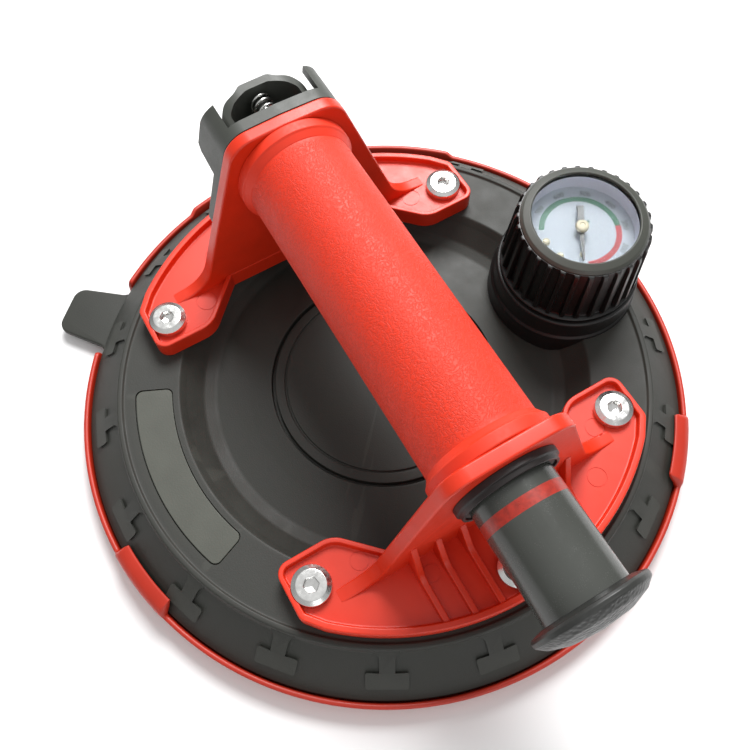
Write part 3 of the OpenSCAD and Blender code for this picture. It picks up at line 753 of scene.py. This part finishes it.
def make_brackets():
    """Both brackets. Ribs are (y, top), and ejector marks are (distance from the middle, y, radius)."""
    ejectors = [(51.3, -38.8, 3.0), (52.5, 46.1, 3.2), (66, 37, 3.2), (65, -22.2, 2.8), (66, 22.2, 2.8)]
    ribs = [(sign * y, top) for sign in (-1, 1) for y, top in ((9, 37), (17.4, 38), (25.8, 45))]
    bore = post(BARREL_R, 50, 65, along_x, (0, GRIP_Z), 128)
    pump_end = bracket("bracket_pump_end_moulding", 1, ribs, [bore], ejectors)
    finish_piece(pump_end, "body", "bracket_red", "bracket_pump_end")
    others = [(51.3, -40, 3.6), (52.5, 42, 3.4), (66, 30, 3.4), (66, -30, 3.4)]
    bore = post(3.6, 50, 65, along_minus_x, (0, STEM_Z))
    valve_end = bracket("bracket_valve_end_moulding", -1, [], [bore], others)
    finish_piece(valve_end, "body", "bracket_red", "bracket_valve_end")


def hexagon(size, count):
    """A hexagon of the given half width, whose corners are eased."""
    out = []
    for i in range(count):
        angle = 2 * math.pi * i / count
        flat = (angle + math.pi / 6) % (math.pi / 3) - math.pi / 6
        reach = min(size / math.cos(flat), size * 1.115)
        out.append(Vector((reach * math.cos(angle), reach * math.sin(angle))))
    return out


def bolt(index, centre):
    """A low-headed screw with a hexagon socket. Each one has come to rest at a different angle."""
    low, count = FLANGE_TOP, 96
    levels = [(0.01, 15), (2.6, 15), (3.0, 15.4), (3.0, low - 0.1), (HEAD_R - 0.3, low),
              (HEAD_R, low + 0.25), (HEAD_R, BOLT_TOP - 1.0), (HEAD_R - 0.12, BOLT_TOP - 0.8),
              (4.7, BOLT_TOP - 0.1), (4.6, BOLT_TOP - 0.03), (4.45, BOLT_TOP)]
    rings = [[Vector((p.x, p.y, height)) for p in circle(radius, count)] for radius, height in levels]
    socket = ((2.2, BOLT_TOP), (2.02, BOLT_TOP - 0.14), (2.0, BOLT_TOP - 0.3), (2.0, low + 0.9))
    rings += [[Vector((p.x, p.y, height)) for p in hexagon(size, count)] for size, height in socket]
    rings.append([Vector((p.x * 0.01, p.y * 0.01, low + 0.35)) for p in hexagon(2.1, count)])
    piece = piece_from(f"bracket_bolt_{index}", rings, sharp=28)
    turn = Matrix.Rotation(math.radians(17 + 41 * index), 4, "Z")
    piece.matrix_world = Matrix.Translation(Vector((*centre, 0)) * MM) @ turn
    return finish_piece(piece, "body", "bolt_steel", "bracket_bolts")


# ---- grip and pump ----


def make_grip():
    """The grip sleeve: smooth stepped collars, and a very slightly uneven tube between them."""
    end = UPRIGHT_IN
    tube = COLLAR_R - 1.8
    step, bump = 0.5, 0.02                         # spacing of the tube's rings, and its unevenness
    fine = [end - 6 - step * i for i in range(int(2 * (end - 6) / step) + 1)]
    collar = rounded([(BARREL_R, end), (COLLAR_R, end, 0.5), (COLLAR_R, end - 3.4, 0.5),
                      (COLLAR_R - 0.5, end - 3.9, 0.3), (tube + 0.2, end - 5.6, 0.3), (tube, end - 5.8)],
                     steps=4, closed=False)
    profile = [(p.x, p.y) for p in collar] + [(tube, x) for x in fine]
    profile += [(p.x, -p.y) for p in reversed(collar)]
    count = 340
    rings = []
    for radius, x in profile:
        ring = []
        for p in circle(radius, count):
            point = about_grip(p.x, p.y, x)
            if abs(radius - tube) < 0.01 and abs(x) < end - 5.9:
                spot = Vector((x * 0.5, p.x * 1.25, p.y * 1.25))
                warp = noise.noise(spot * 0.35) * 1.6
                height = noise.noise(spot + Vector((warp, -warp, warp)))
                fade = smooth_step(0, 2, end - 6 - abs(x))
                point += (point - about_grip(0, 0, x)).normalized() * bump * height * fade
            ring.append(point)
        rings.append(ring)
    grip = piece_from("grip_sleeve_grained", rings, capped=False, looped=True)
    return finish_piece(grip, "body", "grip_red", "grip_sleeve")


def make_gland():
    """The ring round the plunger where it enters the barrel."""
    inner = PLUNGER_R + 0.05
    x0 = UPRIGHT_OUT
    profile = rounded([(inner, x0 - 2.5), (BARREL_R - 1.6, x0 - 2.5), (BARREL_R - 1.6, x0),
                       (BARREL_R + 0.8, x0, 0.2), (BARREL_R + 0.8, x0 + 1.9, 0.25),
                       (BARREL_R + 0.1, x0 + 2.2, 0.15), (BARREL_R - 0.1, x0 + 3.4, 0.2),
                       (inner + 1.5, x0 + 3.4, 0.2), (inner + 1.3, x0 + 2.2, 0.15),
                       (inner, x0 + 1.9, 0.2)], steps=4)
    ring = turned("plunger_gland_moulding", [(p.x, p.y) for p in profile], about_grip, closed=True)
    return finish_piece(ring, "body", "pump_black", "plunger_gland")


def make_knob():
    """The plunger's knob, with a thin rim and a domed face."""
    x0 = KNOB_IN
    rim = KNOB_R
    profile = rounded([(0, x0 - 3.2), (10.15, x0 - 3.2), (10.15, x0, 0.3), (rim - 3.6, x0 + 0.1, 2),
                       (rim - 0.5, x0 + 0.9, 0.5), (rim, x0 + 1.7, 0.5), (rim - 0.15, x0 + 2.8, 0.6),
                       (rim - 2.6, x0 + 4.7, 3), (rim - 8, x0 + 6.5, 8), (0, KNOB_OUT)],
                      steps=6, closed=False)
    knob = turned("plunger_knob_domed", [(p.x, p.y) for p in profile], about_grip, segments=160)
    return finish_piece(knob, "plunger", "knob_black", "plunger_knob")


def bow(half):
    """An outline across the button, whose other half mirrors the given one."""
    return rounded(half + [(x, -y, *rest) for x, y, *rest in reversed(half)], steps=8)


def make_button():
    """The push button: a bowed cap, open at the back, with two shelves and a socket for the stem."""
    inner, outer = -span("release_button", 0)[1], BUTTON_OUT
    low, high = span("release_button", 2)
    skin = bow([(-inner, -14), (-71.4, -14, 4), (-75.2, -11.2, 4), (-76.3, -7, 4), (-outer, -4.6, 2.5)])
    cap = plate("release_button_cap", skin, low - 5, high + 5, edge=0.1, steps=1)
    face = rounded([(-14, low, 2), (14, low, 2), (14, 79, 3), (8, high, 12), (-8, high, 12),
                    (-14, 79, 3)], steps=8)
    front = plate("front", face, inner, outer + 1, along_minus_x, edge=0.1, steps=1)
    hollow = bow([(-inner + 2, -11.2), (-70.6, -11.2, 3), (-73, -8.6, 4), (-75.4, -3.6, 3)])
    room = plate("room", hollow, low - 10, high + 10, edge=0.1, steps=1)
    combine(cap, common=[front], cut=[room])
    fillet(cap, 0.5)
    # The shelves end just inside the skin
    inside = [Vector((p.x * 0.995, p.y * 0.96)) for p in skin if p.x < -67.9]
    shelves = [plate("shelf", inside, height, height + 2, edge=0.15, steps=1) for height in (56, 66)]
    socket = post(2.1, 71, 76, along_minus_x, (0, STEM_Z), 48)
    combine(cap, union=shelves + [socket])
    return finish_piece(cap, "release", "button_grey", "release_button")


def coil(name, radius, wire, start, stop, height, turns):
    """A round wire spring along X, with its end turns slightly closer together."""
    steps, sides = turns * 40, 12
    rings = []
    for i in range(steps + 1):
        t = i / steps
        lay = t - 0.035 * math.sin(2 * math.pi * t)
        x = start + wire + (stop - start - 2 * wire) * lay
        angle = 2 * math.pi * turns * t
        ring = []
        for k in range(sides):
            b = 2 * math.pi * k / sides
            reach = radius + wire * math.cos(b)
            ring.append(Vector((x + wire * math.sin(b), reach * math.cos(angle),
                                height + reach * math.sin(angle))))
        rings.append(ring)
    return piece_from(name, rings, sharp=60)


def make_springs():
    """Both springs, each as long as its CAD node."""
    low, high = span("release_spring", 0)
    spring = coil("release_spring_coil", 3.1, 0.45, low, high, STEM_Z, 6)
    finish_piece(spring, "release", "spring_steel", "release_spring")
    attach(spring, "body")                        # which holds its fixed end
    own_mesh(spring)
    low, high = span("return_spring", 0)
    spring = coil("return_spring_coil", 9.5, 0.8, low, high, GRIP_Z, 11)
    finish_piece(spring, "body", "spring_steel", "return_spring")
    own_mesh(spring)


# ---- gauge ----

def make_gauge_case():
    """The ribbed case: a smooth cup whose ribs stand out of it with rounded tops.

    Foot and head are (radius, distance up from the foot or down from the bezel, height of the ribs).
    """
    ribs, per_rib = 30, 20                         # ribs round the case, and points for each
    count = ribs * per_rib
    foot = [(22.4, 0, 0), (22.9, 0.12, 0), (23.15, 0.4, 0), (23.15, 0.8, 0), (22.9, 1.05, 0),
            (21.7, 1.2, 0.3), (21.45, 1.6, 1.2), (21.4, 2.2, 1.6)]
    levels = [(radius, CASE_Z + up, stand) for radius, up, stand in foot]
    levels += [(21.3 - 0.04 * (z - 35), z, 1.65 - 0.035 * (z - 35)) for z in (35, 39, 43, 47, 50)]
    head = [(20.6, 1.0, 1.0), (20.5, 0.2, 0.85), (20.5, -0.4, 0.75), (20.5, -0.7, 0.6), (20.4, -0.85, 0.35)]
    levels += [(radius, BEZEL_LOW - down, stand) for radius, down, stand in head]
    levels += [(BEZEL_R + 0.03, BEZEL_LOW + 0.85, 0), (BEZEL_R + 0.03, BEZEL_LOW, 0), (18, BEZEL_LOW, 0),
               (18, 36, 0), (0.01, 36, 0)]
    rings = [[about_gauge(p.x, p.y, CASE_Z) for p in circle(0.01, count)]]
    for radius, z, stand in levels:
        ring = []
        for i in range(count):
            phase = abs((i + 0.5) / per_rib % 1 - 0.5) * 2
            top = 1 - smooth_step(0.3, 0.44, phase)
            reach = radius + stand * top
            angle = 2 * math.pi * i / count
            ring.append(about_gauge(reach * math.cos(angle), reach * math.sin(angle), z))
        rings.append(ring)
    case = piece_from("gauge_case_ribbed", rings, sharp=40)
    return finish_piece(case, "body", "gauge_black", "gauge_case")


def make_bezel():
    lens_top = span("gauge_lens", 2)[1]
    profile = rounded([(17.8, BEZEL_LOW), (BEZEL_R, BEZEL_LOW, 0.2), (BEZEL_R, BEZEL_TOP - 1.6, 0.6),
                       (BEZEL_R - 0.8, BEZEL_TOP - 0.7, 0.8), (17.2, BEZEL_TOP, 0.3),
                       (16.8, BEZEL_TOP - 0.3, 0.2), (16.8, lens_top, 0.1), (17.8, lens_top)], steps=4)
    ring = turned("gauge_bezel_ring", [(p.x, p.y) for p in profile], about_gauge, segments=160, closed=True)
    return finish_piece(ring, "body", "bezel_grey", "gauge_bezel")


def dial_arc(name, first, last, inner, outer, material):
    """A printed arc of the scale, a film of ink on the dial."""
    steps = max(2, int(abs(last - first) / 3))
    low, high = DIAL_Z, DIAL_Z + 0.04
    rings = []
    for i in range(steps + 1):
        angle = math.radians(first + (last - first) * i / steps)
        section = ((inner, low), (outer, low), (outer, high), (inner, high))
        rings.append([about_gauge(r * math.cos(angle), r * math.sin(angle), z) for r, z in section])
    return finish_piece(piece_from(name, rings), "body", "dial_white", material=material)


SCALE_START, SCALE_PER_UNIT = -35.6, 0.347         # angle of a reading on the dial
ARC_IN, ARC_OUT, NUMBER_R = 11.4, 13.2, 14.6       # radii of the coloured arcs and of the numbers


def dial_number(reading):
    """A plain number of the scale, printed along the dial's edge."""
    data = bpy.data.curves.new("number", "FONT")
    data.body = str(reading)
    data.size = 2.5 * MM
    data.align_x = data.align_y = "CENTER"
    data.extrude = 0.02 * MM
    text = bpy.data.objects.new("number", data)
    bpy.context.scene.collection.objects.link(text)
    bpy.context.view_layer.update()
    mesh = bpy.data.meshes.new_from_object(text.evaluated_get(bpy.context.evaluated_depsgraph_get()))
    bpy.data.objects.remove(text)
    turn = math.radians(SCALE_START + SCALE_PER_UNIT * reading)
    spot = about_gauge(NUMBER_R * math.cos(turn), NUMBER_R * math.sin(turn), DIAL_Z + 0.03) * MM
    mesh.transform(Matrix.Translation(spot) @ Matrix.Rotation(turn - math.pi / 2, 4, "Z"))
    number = bpy.data.objects.new(f"dial_number_{reading}", mesh)
    bpy.context.scene.collection.objects.link(number)
    return finish_piece(number, "body", "dial_white", material="scale_ink")


def make_dial_print():
    """The scale's two arcs, two small colour keys without words, and the numbers."""
    dial_arc("dial_arc_red", -24, 69, ARC_IN, ARC_OUT, "scale_red")
    dial_arc("dial_arc_green", 69, 238, ARC_IN, ARC_OUT, "scale_green")
    dial_arc("dial_key_green", 105, 117, 4.2, 5.0, "scale_green")
    dial_arc("dial_key_red", 106, 124, 2.7, 3.4, "scale_red")
    for reading in range(200, 801, 100):
        dial_number(reading)


def make_hub():
    """The pointer's hub: a domed cap on a thin shaft."""
    low, high = span("pointer_hub", 2)
    profile = rounded([(0, low), (0.6, low), (0.6, DIAL_Z + 2), (2.1, DIAL_Z + 2, 0.2),
                       (2.1, high - 0.1, 0.6), (0.9, high, 0.1), (0.75, high - 0.25),
                       (0, high - 0.25)], steps=4, closed=False)
    hub = turned("pointer_hub_domed", [(p.x, p.y) for p in profile], about_gauge, segments=64)
    return finish_piece(hub, "pointer", "pin_ivory", "pointer_hub")


# Angle, distance from the dial's middle, radius and height of each dial pin
DIAL_PINS = ((-99.6, 12, 1.2, 1.0), (-68, 12, 1.2, 1.0), (-32.6, 9, 0.8, 1.2))


def make_dial_pins():
    tops = []
    for angle, reach, radius, tall in DIAL_PINS:
        turn = math.radians(angle)
        x, y = reach * math.cos(turn), reach * math.sin(turn)
        profile = rounded([(0, DIAL_Z - 0.3), (radius, DIAL_Z - 0.3), (radius, DIAL_Z + tall, radius * 0.6),
                           (0, DIAL_Z + tall)], steps=5, closed=False)
        tops.append(turned("pin", [(p.x, p.y) for p in profile],
                           lambda u, v, w, x=x, y=y: about_gauge(x + u, y + v, w), segments=40))
    pins = combine(tops[0], union=tops[1:])
    pins.name = "dial_pins_domed"
    return finish_piece(pins, "body", "pin_ivory", "dial_pins")


# ---- CAD nodes that keep their shape ----

def dress_cad_nodes():
    """Every CAD node gets its slot's procedural material, and three visible ones get rounded edges."""
    slots = {}
    for part in frame["record"]["subparts"]:
        slots[part["node"]] = part["material_slot"]
    for name, node in frame["nodes"].items():
        node.data.materials.clear()
        node.data.materials.append(MATERIALS[slots[name]])
    for name, width in (("valve_end_plate", 0.45), ("gauge_pointer", 0.08), ("valve_plate_screws", 0.15)):
        soften(name, width)


# ---- stage ----

# The photo's camera, as a place round the object
VIEW_AZIMUTH, VIEW_ELEVATION, VIEW_ROLL = 60.81, 65.96, -1.1245
VIEW_DISTANCE, VIEW_TARGET = 286.1, (-8.31, 1.0, 0.0)
VIEW_LENS = 38.0                                   # focal length on a 36 mm sensor


def make_camera():
    azimuth, elevation = math.radians(VIEW_AZIMUTH), math.radians(VIEW_ELEVATION)
    away = Vector((math.sin(azimuth) * math.cos(elevation), -math.cos(azimuth) * math.cos(elevation),
                   math.sin(elevation)))
    data = bpy.data.cameras.new("camera")
    data.lens = VIEW_LENS
    data.sensor_width = 36
    data.clip_start = 0.01
    camera = bpy.data.objects.new("camera", data)
    bpy.context.scene.collection.objects.link(camera)
    turn = away.to_track_quat("Z", "Y").to_matrix().to_4x4()
    roll = Matrix.Rotation(math.radians(VIEW_ROLL), 4, "Z")
    spot = (Vector(VIEW_TARGET) + away * VIEW_DISTANCE) * MM
    camera.matrix_world = Matrix.Translation(spot) @ turn @ roll
    bpy.context.scene.camera = camera


def area_light(name, spot, aim, size, power):
    """A round soft light. Its place, aim and size are in metres."""
    data = bpy.data.lights.new(name, "AREA")
    data.shape = "DISK"
    data.size = size
    data.energy = power
    light = bpy.data.objects.new(name, data)
    bpy.context.scene.collection.objects.link(light)
    direction = Vector(spot) - Vector(aim)
    turn = direction.to_track_quat("Z", "Y").to_matrix().to_4x4()
    light.matrix_world = Matrix.Translation(Vector(spot)) @ turn
    return light


def make_floor():
    mesh = bpy.data.meshes.new("floor")
    size = 4.0                                     # half of the floor's side, in metres
    corners = [(-size, -size), (size, -size), (size, size), (-size, size)]
    mesh.from_pydata([(x, y, 0) for x, y in corners], [], [(0, 1, 2, 3)])
    floor = bpy.data.objects.new("floor", mesh)
    bpy.context.scene.collection.objects.link(floor)
    nodes = Nodes("floor_paper")
    paper = nodes.mix(nodes.spread(nodes.noise(60), 0, 1), [0.9, 0.9, 0.9, 1], [0.93, 0.93, 0.93, 1])
    nodes.join(paper, nodes.shader.inputs["Base Color"])
    nodes.shader.inputs["Roughness"].default_value = 0.9
    mesh.materials.append(nodes.material)


def make_world():
    """A white studio that is dimmer below and brighter above, and no tone mapping."""
    world = bpy.data.worlds.new("studio")
    world.use_nodes = True
    background = world.node_tree.nodes["Background"]
    background.inputs["Color"].default_value = (1, 1, 1, 1)
    way = world.node_tree.nodes.new("ShaderNodeTexCoord").outputs["Generated"]
    split = world.node_tree.nodes.new("ShaderNodeSeparateXYZ")
    rise = world.node_tree.nodes.new("ShaderNodeMapRange")
    rise.inputs["To Min"].default_value = 0.1
    rise.inputs["To Max"].default_value = 0.72
    world.node_tree.links.new(way, split.inputs[0])
    world.node_tree.links.new(split.outputs[2], rise.inputs["Value"])
    world.node_tree.links.new(rise.outputs[0], background.inputs["Strength"])
    bpy.context.scene.world = world
    bpy.context.scene.view_settings.view_transform = "Standard"


def make_lights():
    area_light("key", (-0.52, 0.42, 0.86), (0, 0, 0.02), 0.6, 16.5)
    area_light("fill", (0.95, -0.2, 0.5), (0, 0, 0.05), 0.7, 1.9)


make_camera()
make_floor()
make_world()
make_lights()
dress_cad_nodes()
make_pad()
make_label()
make_cover()
make_brackets()
for number, spot in enumerate(BOLTS, 1):
    bolt(number, spot)
make_grip()
make_gland()
make_knob()
make_button()
make_springs()
make_gauge_case()
make_bezel()
make_dial_print()
make_hub()
make_dial_pins()
